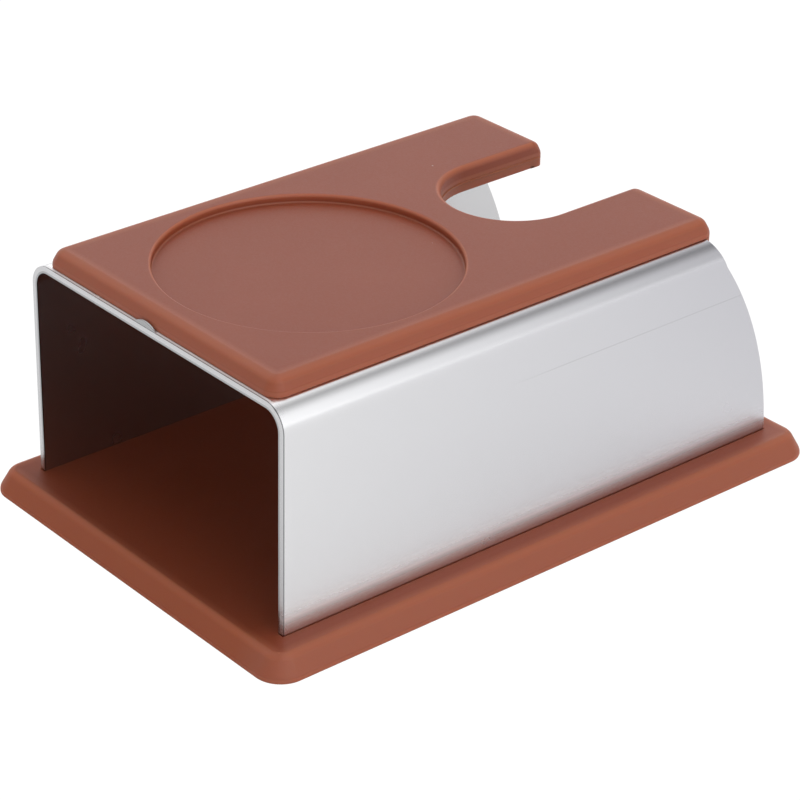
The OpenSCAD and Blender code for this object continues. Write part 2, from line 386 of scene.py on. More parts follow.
def spread(tree, value, low, high, to_low=0.0, to_high=1.0):
    """Runs from to_low to to_high while value runs from low to high, and stays there beyond."""
    node = tree.nodes.new("ShaderNodeMapRange")
    tree.links.new(value, node.inputs["Value"])
    for label, number in (("From Min", low), ("From Max", high), ("To Min", to_low), ("To Max", to_high)):
        if isinstance(number, bpy.types.NodeSocket):
            tree.links.new(number, node.inputs[label])
        else:
            node.inputs[label].default_value = number
    return node.outputs["Result"]


def stretched(tree, vector, scale):
    node = tree.nodes.new("ShaderNodeMapping")
    tree.links.new(vector, node.inputs["Vector"])
    node.inputs["Scale"].default_value = scale
    return node.outputs["Vector"]


def moulded_grain_group():
    """Fine moulded grain and broad, faint patches."""
    group, start, end = new_group("Moulded grain", [("Vector", "NodeSocketVector", None),
                                                    ("Grain scale", "NodeSocketFloat", 2600.0),
                                                    ("Patch scale", "NodeSocketFloat", 45.0)],
                                  [("Grain", "NodeSocketFloat"), ("Patches", "NodeSocketFloat")])
    vector = start.outputs["Vector"]
    grain = noise(group, vector, start.outputs["Grain scale"], detail=3.0, rough=0.6)
    patches = noise(group, vector, start.outputs["Patch scale"], detail=4.0, rough=0.55)
    group.links.new(grain, end.inputs["Grain"])
    group.links.new(spread(group, patches, 0.3, 0.7), end.inputs["Patches"])
    return group


def specks_group():
    """Small scattered specks of dust."""
    group, start, end = new_group("Dust specks", [("Vector", "NodeSocketVector", None),
                                                  ("Cell scale", "NodeSocketFloat", 130.0),
                                                  ("Share", "NodeSocketFloat", 0.12),
                                                  ("Size", "NodeSocketFloat", 0.035)],
                                  [("Mask", "NodeSocketFloat")])
    cells = group.nodes.new("ShaderNodeTexVoronoi")
    cells.feature = "F1"
    group.links.new(start.outputs["Vector"], cells.inputs["Vector"])
    group.links.new(start.outputs["Cell scale"], cells.inputs["Scale"])
    cells.inputs["Randomness"].default_value = 1.0
    split = group.nodes.new("ShaderNodeSeparateColor")
    group.links.new(cells.outputs["Color"], split.inputs["Color"])
    chosen = math_node(group, "LESS_THAN", split.outputs["Red"], start.outputs["Share"])
    size = times(group, start.outputs["Size"], math_node(group, "ADD", split.outputs["Green"], 0.5))
    near = math_node(group, "LESS_THAN", cells.outputs["Distance"], size)
    group.links.new(times(group, chosen, near), end.inputs["Mask"])
    return group


def brushed_lines_group():
    """Fine lines along the sheet's length, and a broad, faint unevenness."""
    group, start, end = new_group("Brushed lines", [("Vector", "NodeSocketVector", None)],
                                  [("Lines", "NodeSocketFloat"), ("Streaks", "NodeSocketFloat"),
                                   ("Patches", "NodeSocketFloat")])
    vector = start.outputs["Vector"]
    lines = noise(group, stretched(group, vector, (6000, 60, 6000)), 1.0, detail=2.0, rough=0.6)
    streaks = noise(group, stretched(group, vector, (900, 25, 900)), 1.0, detail=3.0, rough=0.6)
    patches = noise(group, vector, 60.0, detail=3.0)
    group.links.new(lines, end.inputs["Lines"])
    group.links.new(spread(group, streaks, 0.3, 0.7), end.inputs["Streaks"])
    group.links.new(spread(group, patches, 0.3, 0.7), end.inputs["Patches"])
    return group


def shared_group(name, maker):
    return bpy.data.node_groups.get(name) or maker()


def place_group(tree, group, vector, **values):
    """Puts a shared group into a material; the values go to the sockets of the same names."""
    node = tree.nodes.new("ShaderNodeGroup")
    node.node_tree = group
    tree.links.new(vector, node.inputs["Vector"])
    for label, value in values.items():
        node.inputs[label.replace("_", " ")].default_value = value
    return node


def new_material(name):
    """A material with its node tree, its shader and the object's own coordinates."""
    material = bpy.data.materials.new(name)
    material.use_nodes = True
    tree = material.node_tree
    tree.nodes.clear()
    out = tree.nodes.new("ShaderNodeOutputMaterial")
    shader = tree.nodes.new("ShaderNodeBsdfPrincipled")
    tree.links.new(shader.outputs["BSDF"], out.inputs["Surface"])
    place = tree.nodes.new("ShaderNodeTexCoord").outputs["Object"]
    return material, tree, shader, place


def mixed_colour(tree, amount, first, second):
    node = tree.nodes.new("ShaderNodeMix")
    node.data_type = "RGBA"
    tree.links.new(amount, node.inputs["Factor"])
    for label, value in (("A", first), ("B", second)):
        socket = next(s for s in node.inputs if s.name == label and s.type == "RGBA")
        if isinstance(value, bpy.types.NodeSocket):
            tree.links.new(value, socket)
        else:
            socket.default_value = (*value, 1.0)
    return next(s for s in node.outputs if s.type == "RGBA")


def bumped(tree, height, distance, strength):
    node = tree.nodes.new("ShaderNodeBump")
    tree.links.new(height, node.inputs["Height"])
    node.inputs["Distance"].default_value = distance
    node.inputs["Strength"].default_value = strength
    return node.outputs["Normal"]


def axes_of(tree, vector):
    """The x, y and z of a vector."""
    node = tree.nodes.new("ShaderNodeSeparateXYZ")
    tree.links.new(vector, node.inputs["Vector"])
    return node.outputs["X"], node.outputs["Y"], node.outputs["Z"]


def facing(tree):
    """The x, y and z of the way that the surface faces."""
    return axes_of(tree, tree.nodes.new("ShaderNodeTexCoord").outputs["Normal"])


def toned(colour, share):
    return tuple(part * share for part in colour)


def layered(tree, body, layers):
    """Lays colours over the body one after the other, each as far as its mask says."""
    for mask, colour in layers:
        body = mixed_colour(tree, mask, body, colour)
    return body


def painted_ridge_highlight(tree, place, low, high, lean):
    """One on the rounded edges of a mat's level face, where a highlight is painted."""
    x, y, z = axes_of(tree, place)
    beyond = math_node(tree, "SUBTRACT", math_node(tree, "ABSOLUTE", x), high.x - lean)
    beyond = math_node(tree, "MAXIMUM", beyond, math_node(tree, "SUBTRACT", low.y + lean, y))
    beyond = math_node(tree, "MAXIMUM", beyond, math_node(tree, "SUBTRACT", y, high.y - lean))
    ridge = times(tree, spread(tree, beyond, -settings().finish.painted_highlight_reach, 0.0),
                  spread(tree, z, high.z - 2.2 * MM, high.z - 0.2 * MM))
    # The painted highlight on the rim of the recess and of the notch
    rim = times(tree, spread(tree, z, high.z - 1.3 * MM, high.z - 0.25 * MM),
                spread(tree, z, high.z - 0.06 * MM, high.z - 0.004 * MM, 1.0, 0.0))
    rim = times(tree, rim, math_node(tree, "LESS_THAN", beyond, -1.5 * MM))
    return math_node(tree, "MAXIMUM", ridge, rim)


def slope_mask(tree):
    """One on faces that slope, none on level and upright ones."""
    z = facing(tree)[2]
    return times(tree, spread(tree, z, 0.15, 0.40), spread(tree, z, 0.75, 0.95, 1.0, 0.0))


def rubber_material(name, low, high, lean, band_z, patch_scale, slope_highlight_share, ridge_highlight_share, sheltered=False):
    """Soft matt moulded rubber with fine grain, faint patches, painted highlights on its edges and a few
    specks of dust.

    Every slope and ridge and the foot band take the painted highlight colour by their shares. A sheltered mat
    is duller under the frame, and its level face is painted darker there towards the front, as painted shade."""
    finish = settings().finish
    material, tree, shader, place = new_material(name)
    grain = place_group(tree, shared_group("Moulded grain", moulded_grain_group), place,
                        Grain_scale=2600.0, Patch_scale=patch_scale)
    specks = place_group(tree, shared_group("Dust specks", specks_group), place,
                         Cell_scale=150.0, Share=0.10, Size=0.030)
    x, y, z = axes_of(tree, place)
    # Painted highlight: every slope, ridge, rim and the foot band is painted lighter
    slope_highlight = times(tree, slope_mask(tree), slope_highlight_share)
    ridge_highlight = times(tree, painted_ridge_highlight(tree, place, low, high, lean), ridge_highlight_share)
    band = times(tree, spread(tree, z, band_z, band_z + 0.4 * MM, 1.0, 0.0), slope_highlight_share * 1.3)
    edges = math_node(tree, "MAXIMUM", math_node(tree, "MAXIMUM", slope_highlight, ridge_highlight), band)
    layers = [(grain.outputs["Patches"], finish.rubber_dusty), (edges, finish.rubber_painted_highlight)]
    if sheltered:
        # Painted shade: below the frame the level face is painted darker towards the front
        under = spread(tree, x, 36 * MM, 44 * MM, 1.0, 0.0)
        deep = times(tree, under, spread(tree, y, -50 * MM, -5 * MM, finish.shelter_shade, 0.0))
        level = spread(tree, facing(tree)[2], 0.90, 0.99)
        layers.append((times(tree, deep, level), finish.rubber_deep))
        gloss = spread(tree, under, 0.0, 1.0, 0.5, finish.shelter_gloss)
        tree.links.new(gloss, shader.inputs["Specular IOR Level"])
    layers.append((times(tree, specks.outputs["Mask"], 0.55), finish.rubber_dust))
    body = layered(tree, finish.rubber, layers)
    rough = spread(tree, grain.outputs["Grain"], 0.3, 0.7, finish.rubber_rough - 0.05,
                   finish.rubber_rough + 0.05)
    tree.links.new(body, shader.inputs["Base Color"])
    tree.links.new(rough, shader.inputs["Roughness"])
    tree.links.new(bumped(tree, grain.outputs["Grain"], 0.04 * MM, 0.35), shader.inputs["Normal"])
    # Light that enters the silicone near an edge comes out again beside it
    shader.inputs["Subsurface Weight"].default_value = 0.5
    shader.inputs["Subsurface Radius"].default_value = (1.0, 0.35, 0.12)
    shader.inputs["Subsurface Scale"].default_value = 2.5 * MM
    return material


def painted_edge_shade(tree, y, z):
    """One beside the sheet's cut front edge, where a dark line of painted shade runs along the broken edge.
    """
    behind = math_node(tree, "GREATER_THAN", y, STEEL_LOW.y + 0.03 * MM)
    before = math_node(tree, "LESS_THAN", y, STEEL_LOW.y + 0.29 * MM)
    below = math_node(tree, "LESS_THAN", z, settings().steel.height + 0.02 * MM)
    return times(tree, times(tree, behind, before), below)


def inside_mask(tree, x, z):
    """One on the inner faces of the bent sheet."""
    sizes = settings().steel
    outer = sizes.bend + sizes.sheet
    flat = math_node(tree, "SUBTRACT", math_node(tree, "ABSOLUTE", x), sizes.width / 2 - outer)
    rise = math_node(tree, "SUBTRACT", z, sizes.height - outer)
    squares = [math_node(tree, "POWER", math_node(tree, "MAXIMUM", side, 0.0), 2.0) for side in (flat, rise)]
    reach = math_node(tree, "SQRT", math_node(tree, "ADD", *squares))
    return math_node(tree, "LESS_THAN", reach, sizes.bend + 0.3 * sizes.sheet)


def long_scratch(tree, y, z):
    """One on a faint scratch that runs along the rear half of the side plates."""
    off = math_node(tree, "ABSOLUTE", math_node(tree, "SUBTRACT", z, 41.4 * MM))
    thin = spread(tree, off, 0.05 * MM, 0.16 * MM, 1.0, 0.0)
    return times(tree, thin, spread(tree, y, -12 * MM, 6 * MM))


def foot_haze(tree, z):
    """Rises and falls again just above the base mat, where the satin face is hazy from handling."""
    height = math_node(tree, "SUBTRACT", z, BASE_HIGH.z + 3.6 * MM)
    return spread(tree, math_node(tree, "ABSOLUTE", height), 0.0, 3.2 * MM, 0.42, 0.0)


def steel_colour(tree, place, streaks, inside, flat):
    """Colour of the sheet with its streaks, marks and dust, and with painted shade and light: darker towards
    the back, on its inner faces, level faces, cut front face, tab, broken front edge and foot, and lighter
    low down.
    """
    finish = settings().finish
    y, z = axes_of(tree, place)[1:]
    outside = rest(tree, inside)
    streaked = spread(tree, streaks, 0.0, 1.0, 0.0, 0.03)
    # Painted shade: darker and bluer towards the back
    painted_back_shade = spread(tree, y, STEEL_LOW.y, STEEL_HIGH.y)
    # Painted light: lighter towards the bottom, against the darker floor it mirrors there
    painted_low_light = spread(tree, z, BASE_HIGH.z, STEEL_HIGH.z, 0.22, 0.0)
    # Painted shade: the level faces beside the top mat are painted darker
    painted_level_shade = times(tree, flat, spread(tree, y, STEEL_LOW.y + 5 * MM, STEEL_LOW.y + 45 * MM))
    # Painted shade: faces towards the front are painted darker
    painted_front_shade = spread(tree, facing(tree)[1], -0.95, -0.75, 1.0, 0.0)
    # Painted shade: the tab above the top plate is painted darker
    tab = math_node(tree, "GREATER_THAN", z, settings().steel.height + 0.05 * MM)
    # Painted shade: the inner faces darker again towards the back
    painted_inside_back_shade = times(tree, inside, spread(tree, y, 20 * MM, 50 * MM))
    dust = place_group(tree, shared_group("Dust specks", specks_group), place,
                       Cell_scale=120.0, Share=0.06, Size=0.028)
    nicks = place_group(tree, shared_group("Dust specks", specks_group),
                        stretched(tree, place, (1.0, 0.22, 1.0)), Cell_scale=210.0, Share=0.08, Size=0.045)
    marks = times(tree, math_node(tree, "MAXIMUM", nicks.outputs["Mask"], long_scratch(tree, y, z)), 0.26)
    # Painted shade: dark brown just above the base mat, on the outer faces
    painted_foot_shade = spread(tree, z, BASE_HIGH.z + 0.12 * MM, BASE_HIGH.z + 0.4 * MM, 0.4, 0.0)
    dusty = times(tree, dust.outputs["Mask"], spread(tree, inside, 0.0, 1.0, 0.25, 0.04))
    return layered(tree, finish.steel, (
        (streaked, toned(finish.steel, 0.93)),
        (painted_back_shade, finish.steel_painted_back_shade),
        (painted_low_light, (1.0, 1.0, 1.0)),
        (painted_level_shade, toned(finish.steel, 0.60)),
        (painted_front_shade, toned(finish.steel, 0.80)),
        (tab, toned(finish.steel, 0.52)),
        (times(tree, marks, outside), finish.steel_marks),
        (inside, toned(finish.steel, finish.steel_painted_inside_shade)),
        (painted_inside_back_shade, toned(finish.steel, 0.80)),
        (dusty, finish.steel_dust),
        (times(tree, painted_edge_shade(tree, y, z), 0.85), finish.steel_painted_edge_shade),
        (times(tree, painted_foot_shade, outside), finish.steel_painted_foot_shade),
    ))


def steel_material():
    """Satin stainless sheet brushed along its length."""
    finish = settings().finish
    material, tree, shader, place = new_material("Brushed steel")
    brushed = place_group(tree, shared_group("Brushed lines", brushed_lines_group), place)
    x, y, z = axes_of(tree, place)
    inside = inside_mask(tree, x, z)
    flat = spread(tree, facing(tree)[2], 0.93, 0.995)
    body = steel_colour(tree, place, brushed.outputs["Streaks"], inside, flat)
    # Haze above the base mat and on the worn strip along the top plate's front
    haze = times(tree, foot_haze(tree, z), rest(tree, inside))
    worn = spread(tree, y, STEEL_LOW.y + 0.75 * MM, STEEL_LOW.y + 1.0 * MM, 0.8, 0.0)
    haze = math_node(tree, "MAXIMUM", haze, times(tree, worn, flat))
    rough = spread(tree, brushed.outputs["Patches"], 0.0, 1.0, finish.steel_rough - 0.004,
                   finish.steel_rough + 0.004)
    tree.links.new(body, shader.inputs["Base Color"])
    tree.links.new(rest(tree, haze), shader.inputs["Metallic"])
    tree.links.new(rough, shader.inputs["Roughness"])
    tree.links.new(bumped(tree, brushed.outputs["Lines"], 0.01 * MM, 0.03), shader.inputs["Normal"])
    return material


# The base mat


def model_base_mat():
    sizes = settings().base_mat
    half_w, half_l = mm(sizes.width) / 2, mm(sizes.length) / 2
    height, band, corner = mm(sizes.height), mm(sizes.band), mm(sizes.corner)
    bm = bmesh.new()
    flat_rectangle(bm, (-half_w, -half_l), (half_w, half_l), 0)
    round_corners(bm, [(x, y) for x in (-half_w, half_w) for y in (-half_l, half_l)], corner, 20)
    top = lift(bm, bm.faces[:][0], band)
    lift(bm, top, height - band)
    lean_in(bm, height, half_w, -half_l, half_l, corner, mm(sizes.lean))
    bmesh.ops.recalc_face_normals(bm, faces=bm.faces)
    top = next(f for f in bm.faces if f.normal.z > 0.99)
    round_edges(bm, list(top.edges), mm(sizes.ridge), 6)
    round_edges(bm, loop_edges(bm, band), mm(sizes.band_round), 4)
    round_edges(bm, loop_edges(bm, 0), mm(sizes.foot_round), 3)
    cut_slots(bm, height)
    material = rubber_material("Base mat rubber", BASE_LOW, BASE_HIGH, sizes.lean, sizes.band,
                               patch_scale=40.0, slope_highlight_share=0.43, ridge_highlight_share=0.84, sheltered=True)
    return finish_piece("base_mat_moulding", bm, material, "base_mat")


def cut_slots(bm, height):
    """Sinks the two slots that the side plates stand in."""
    sizes, steel = settings().base_mat, settings().steel
    inner = mm(steel.width) / 2 - mm(steel.sheet) - mm(sizes.slot_fit)
    outer = mm(steel.width) / 2 + mm(sizes.slot_gap)
    front = mm(STEEL_LOW.y) - mm(sizes.slot_gap)
    back = mm(STEEL_LOW.y) + mm(steel.length) + mm(sizes.slot_gap)

    def top_faces():
        return [f for f in bm.faces if f.normal.z > 0.999 and mid(f).z > height - NEAR]

    def strips():
        return [f for f in top_faces() if inner < abs(mid(f).x) < outer]

    for x in (-outer, -inner, inner, outer):
        cut(bm, whole(bm, top_faces()), (x, 0, 0), (1, 0, 0))
    for y in (front, back):
        cut(bm, whole(bm, strips()), (0, y, 0), (0, 1, 0))
    floors = [f for f in strips() if front < mid(f).y < back]
    if len(floors) != 2:
        raise RuntimeError("the base mat needs two slots")
    rims = [e for f in floors for e in f.edges if not all(abs(abs(v.co.x) - inner) < NEAR for v in e.verts)]
    for face in floors:
        lift(bm, face, mm(steel.foot) - height)
    round_edges(bm, [e for e in rims if e.is_valid], mm(sizes.slot_edge), 2)


# The steel frame


def model_steel_frame():
    """Draws the sheet's outer side, trims it and gives it its thickness."""
    sizes = settings().steel
    bm = bmesh.new()
    draw_sheet(bm)
    trim_back(bm)
    cut_frame_notch(bm)
    bmesh.ops.delete(bm, geom=[v for v in bm.verts if not v.link_edges], context="VERTS")
    bmesh.ops.recalc_face_normals(bm, faces=bm.faces)
    if max(bm.faces, key=lambda f: mid(f).z).normal.z < 0:
        bmesh.ops.reverse_faces(bm, faces=bm.faces)
    changes = [
        ("SOLIDIFY", {"thickness": mm(sizes.sheet), "offset": -1.0, "use_even_offset": True,
                      "use_quality_normals": True}),
        ("BEVEL", {"width": mm(sizes.cut_edge), "segments": 3, "limit_method": "ANGLE",
                   "angle_limit": math.radians(50), "harden_normals": False}),
    ]
    return finish_sheet(bm, changes)


def draw_sheet(bm):
    """Draws the sheet's front line, left foot to right foot, and pulls it back past the foot's length."""
    sizes = settings().steel
    half_w, foot, top = mm(sizes.width) / 2, mm(sizes.foot), mm(sizes.height)
    outer_r = mm(sizes.bend) + mm(sizes.sheet)
    front, spare = mm(STEEL_LOW.y), 1.0

    def draw_to(vert, x, z):
        made = bmesh.ops.extrude_vert_indiv(bm, verts=[vert])["verts"][0]
        made.co = (x, front, z)
        return made

    def bend(vert, centre_x):
        made = bmesh.ops.spin(bm, geom=[vert], cent=(centre_x, front, top - outer_r), axis=(0, 1, 0),
                              dvec=(0, 0, 0), angle=math.pi / 2, steps=20, use_merge=False,
                              use_duplicate=False)
        return verts_in(made["geom_last"])[0]

    last = bm.verts.new((-half_w, front, foot))
    last = draw_to(last, -half_w, top - outer_r - BEND_HOLD)
    last = draw_to(last, -half_w, top - outer_r)
    last = bend(last, outer_r - half_w)
    last = draw_to(last, outer_r - half_w + BEND_HOLD, top)
    last = draw_to(last, half_w - outer_r - BEND_HOLD, top)
    last = draw_to(last, half_w - outer_r, top)
    last = bend(last, half_w - outer_r)
    last = draw_to(last, half_w, top - outer_r - BEND_HOLD)
    draw_to(last, half_w, foot)
    made = bmesh.ops.extrude_edge_only(bm, edges=bm.edges[:])["geom"]
    move(bm, verts_in(made), (0, mm(sizes.length) + spare, 0))
    bmesh.ops.recalc_face_normals(bm, faces=bm.faces)


def top_plate_faces(bm):
    """The level faces of the sheet's outer side."""
    top = mm(settings().steel.height)
    return [f for f in bm.faces if abs(f.normal.z) > 0.999 and abs(mid(f).z - top) < NEAR]


def trim(bm, faces, spot, normal):
    """Cuts the faces with a plane and drops what lies beyond it."""
    made = faces_in(cut(bm, whole(bm, faces), spot, normal)["geom"])
    beyond = [f for f in made if (mid(f) - Vector(spot)).dot(Vector(normal)) > 0]
    bmesh.ops.delete(bm, geom=beyond, context="FACES")


def trim_back(bm):
    """Gives the top plate a square back edge, the side plates curved ones and the bends slanted ones."""
    sizes = settings().steel
    top, foot, arc_r = mm(sizes.height), mm(sizes.foot), mm(sizes.arc)
    front, chords = mm(STEEL_LOW.y), 44
    arc_y = front + mm(sizes.length) - arc_r
    plate_back = front + mm(sizes.top_length)
    trim(bm, top_plate_faces(bm), (0, plate_back, 0), (0, 1, 0))
    turn_z = top - mm(sizes.bend) - mm(sizes.sheet) - BEND_HOLD
    low, high = math.asin(foot / arc_r), math.asin(turn_z / arc_r)
    turns = [low + (high - low) * i / chords for i in range(chords + 1)]
    spots = [(arc_y + arc_r * math.cos(a), arc_r * math.sin(a)) for a in turns]
    for (y0, z0), (y1, z1) in zip(spots, spots[1:]):
        trim(bm, [f for f in bm.faces if mid(f).z < turn_z], (0, y0, z0), (0, z1 - z0, y0 - y1))
    y, z = spots[-1]
    flat = set(top_plate_faces(bm))
    bends = [f for f in bm.faces if mid(f).z > turn_z and f not in flat]
    trim(bm, bends, (0, y, z), (0, top - z, y - plate_back))


def cut_frame_notch(bm):
    """Cuts the round-ended notch in the top plate, wider than the mat's rim by the clearance."""
    mat = settings().top_mat
    top, steps = mm(settings().steel.height), 48
    radius = mm(mat.notch_width) / 2 + mm(mat.rim) + mm(settings().steel.notch_gap)
    notch_y = mm(TOP_HIGH.y) - mm(mat.notch_length) + mm(mat.notch_width) / 2

    def between():
        return [f for f in top_plate_faces(bm) if abs(mid(f).x) < radius]

    def on_line(vert):
        return abs(vert.co.y - notch_y) < NEAR and abs(vert.co.z - top) < NEAR

    for x in (-radius, radius):
        cut(bm, whole(bm, top_plate_faces(bm)), (x, 0, 0), (1, 0, 0))
    cut(bm, whole(bm, between()), (0, notch_y, 0), (0, 1, 0))
    bmesh.ops.delete(bm, geom=[f for f in between() if mid(f).y > notch_y], context="FACES")
    edge = [e for e in bm.edges if all(on_line(v) for v in e.verts)
            and abs((e.verts[0].co.x + e.verts[1].co.x) / 2) < NEAR]
    if len(edge) != 1:
        raise RuntimeError("the notch's edge is missing")
    bmesh.ops.subdivide_edges(bm, edges=edge, cuts=steps - 1)
    row = sorted((v for v in bm.verts if on_line(v) and abs(v.co.x) < radius + NEAR), key=lambda v: v.co.x)
    for i, vert in enumerate(row):
        turn = math.pi * i / steps
        vert.co = (-radius * math.cos(turn), notch_y - radius * math.sin(turn), top)


def finish_sheet(bm, changes):
    """Thickens the sheet and breaks its edges with modifiers, adds the tab and finishes the piece."""
    mesh = bpy.data.meshes.new("steel_sheet")
    bmesh.ops.remove_doubles(bm, verts=bm.verts, dist=WELD)
    bm.to_mesh(mesh)
    bm.free()
    scratch = bpy.data.objects.new("steel_sheet", mesh)
    bpy.context.scene.collection.objects.link(scratch)
    for kind, values in changes:
        change = scratch.modifiers.new(kind.title(), kind)
        for key, value in values.items():
            setattr(change, key, value)
    solid = bmesh.new()
    solid.from_object(scratch, bpy.context.evaluated_depsgraph_get())
    bpy.data.objects.remove(scratch)
    bpy.data.meshes.remove(mesh)
    add_tab(solid)
    return finish_piece("bent_steel_sheet", solid, steel_material(), "steel_frame", sharp=60.0)


def half_moon(bm, extra, depth, sunk):
    """Half-moon at the front edge, larger all round by extra, whose foot is sunk below the top plate."""
    sizes = settings().steel
    width, height = mm(sizes.tab_width) + 2 * extra, mm(sizes.tab_height) + extra
    radius = ((width / 2) ** 2 + height ** 2) / (2 * height)
    middle, low_z = mm(sizes.height) + height - radius, mm(sizes.height) - sunk
    reach = math.degrees(math.acos(max(-1.0, (low_z - middle) / radius)))
    y = mm(STEEL_LOW.y) + mm(sizes.tab_inset) - extra
    profile = arc_points((-mm(sizes.tab_offset), middle), radius, 90 - reach, 90 + reach, 48)
    face = bm.faces.new([bm.verts.new((x, y, z)) for x, z in profile])
    made = bmesh.ops.extrude_face_region(bm, geom=[face], use_keep_orig=True)["geom"]
    move(bm, verts_in(made), (0, depth, 0))
    bmesh.ops.recalc_face_normals(bm, faces=bm.faces)


def add_tab(bm):
    """Adds the half-moon tab that stands up from the sheet's front edge."""
    tab = bmesh.new()
    steel = settings().steel
    half_moon(tab, 0, mm(steel.tab_depth), mm(steel.sheet) / 2)
    sharp = [e for e in tab.edges if e.calc_face_angle(0.0) > math.radians(60)]
    round_edges(tab, sharp, mm(steel.tab_edge), 3)
    join(bm, tab)


# The top mat


class TopMatPlan:
    """Places of the top mat's outline and faces, in millimetres."""

    def __init__(self):
        sizes, steel = settings().top_mat, settings().steel
        self.half_w = mm(sizes.width) / 2
        self.low_y, self.high_y = mm(TOP_LOW.y), mm(TOP_HIGH.y)
        self.low_z, self.bottom = mm(TOP_LOW.z), mm(steel.height)
        self.top = self.bottom + mm(sizes.height)
        self.corner, self.arm_corner = mm(sizes.corner), mm(sizes.arm_corner)
        self.notch_half = mm(sizes.notch_width) / 2
        self.notch_y = self.high_y - mm(sizes.notch_length) + self.notch_half
        # Where the rim stands behind the steel's top plate
        self.back = mm(STEEL_LOW.y) + mm(steel.top_length) + mm(steel.notch_gap)


def is_straight(vert):
    """True where just two edges meet, in one line."""
    if len(vert.link_edges) != 2:
        return False
    ways = [(e.other_vert(vert).co - vert.co).normalized() for e in vert.link_edges]
    return abs(ways[0].dot(ways[1]) + 1) < 1e-6


def notched_outline(bm, plan, low_y, z):
    """Flat face with rounded corners and a round-ended notch open at the back."""
    half_w, high_y, notch_half = plan.half_w, plan.high_y, plan.notch_half
    end_y = plan.notch_y - notch_half

    def between():
        return [f for f in bm.faces if abs(mid(f).x) < notch_half]

    flat_rectangle(bm, (-half_w, low_y), (half_w, high_y), z)
    for x in (-notch_half, notch_half):
        cut(bm, whole(bm), (x, 0, 0), (1, 0, 0))
    cut(bm, whole(bm, between()), (0, end_y, 0), (0, 1, 0))
    bmesh.ops.delete(bm, geom=[f for f in between() if mid(f).y > end_y], context="FACES")
    bmesh.ops.dissolve_faces(bm, faces=bm.faces[:])
    bmesh.ops.dissolve_verts(bm, verts=[v for v in bm.verts if is_straight(v)])
    round_corners(bm, [(x, y) for x in (-half_w, half_w) for y in (low_y, high_y)], plan.corner, 16)
    round_corners(bm, [(x, high_y) for x in (-notch_half, notch_half)], plan.arm_corner, 10)
    round_corners(bm, [(x, end_y) for x in (-notch_half, notch_half)], notch_half - WELD, 36)


def model_top_mat():
    sizes, plan = settings().top_mat, TopMatPlan()
    band, lean = mm(sizes.band), mm(sizes.lean)
    bm = bmesh.new()
    notched_outline(bm, plan, plan.low_y, plan.bottom)
    face = lift(bm, bm.faces[:][0], band)
    lift(bm, face, plan.top - plan.bottom - band)
    arms = [v for v in level_verts(bm, plan.top) if v.co.y > plan.high_y - plan.arm_corner - NEAR
            and abs(v.co.x) < plan.notch_half + plan.arm_corner + NEAR]
    lean_in(bm, plan.top, plan.half_w, plan.low_y, plan.high_y, plan.corner, lean)
    move(bm, arms, (0, -lean, 0))
    bmesh.ops.recalc_face_normals(bm, faces=bm.faces)
    face = max((f for f in bm.faces if f.normal.z > 0.99), key=lambda f: mid(f).z)
    round_edges(bm, list(face.edges), mm(sizes.ridge), 6)
    round_edges(bm, loop_edges(bm, plan.bottom + band), mm(sizes.band_round), 4)
    round_edges(bm, loop_edges(bm, plan.bottom), mm(sizes.foot_round), 3)
    cut_nick(bm)
    sink_recess(bm, plan)
    add_notch_rim(bm, plan)
    add_back_strips(bm, plan)
    add_seam(bm, plan)
    material = rubber_material("Top mat rubber", TOP_LOW, TOP_HIGH, sizes.lean,
                               settings().steel.height + sizes.band,
                               patch_scale=55.0, slope_highlight_share=0.36, ridge_highlight_share=0.80)
    return finish_piece("top_mat_moulding", bm, material, "top_mat")


def sink_recess(bm, plan):
    """Puts a spun dish into the top face and fills the face up to its rim."""
    sizes = settings().top_mat
    face = max((f for f in bm.faces if f.normal.z > 0.99 and mid(f).z > plan.top - NEAR),
               key=lambda f: f.calc_area())
    bmesh.ops.delete(bm, geom=[face], context="FACES_ONLY")
    radius, rim, fillet = mm(sizes.recess) / 2, mm(sizes.recess_rim), mm(sizes.recess_fillet)
    floor_z = plan.top - mm(sizes.recess_depth)
    profile = arc_points((radius + rim, plan.top - rim), rim, 90, 180, 6)
    profile += arc_points((radius - fillet, floor_z + fillet), fillet, 0, -90, 5)
    profile += [(radius - 2, floor_z), (radius / 2, floor_z), (0, floor_z)]
    lathe(bm, profile, (0, plan.low_y + mm(sizes.recess_inset)), 144)
    bmesh.ops.remove_doubles(bm, verts=bm.verts, dist=WELD)
    gap = [e for e in bm.edges if len(e.link_faces) == 1
           and all(abs(v.co.z - plan.top) < NEAR for v in e.verts)]
    bmesh.ops.triangle_fill(bm, use_beauty=True, use_dissolve=False, edges=gap, normal=(0, 0, 1))


def cut_nick(bm):
    """Cuts the nick that the steel's tab stands in."""
    steel = settings().steel
    gap = mm(steel.tab_gap)
    tool = bmesh.new()
    half_moon(tool, gap, mm(steel.tab_depth) + 2 * gap, mm(steel.sheet) / 2)
    pair = []
    for label, source in (("nick_tool", tool), ("nick_body", bm)):
        mesh = bpy.data.meshes.new(label)
        source.to_mesh(mesh)
        pair.append(bpy.data.objects.new(label, mesh))
        bpy.context.scene.collection.objects.link(pair[-1])
    tool.free()
    cutter, body = pair
    change = body.modifiers.new("Nick", "BOOLEAN")
    change.operation = "DIFFERENCE"
    change.solver = "EXACT"
    change.object = cutter
    bm.clear()
    bm.from_object(body, bpy.context.evaluated_depsgraph_get())
    for scratch in pair:
        mesh = scratch.data
        bpy.data.objects.remove(scratch)
        bpy.data.meshes.remove(mesh)


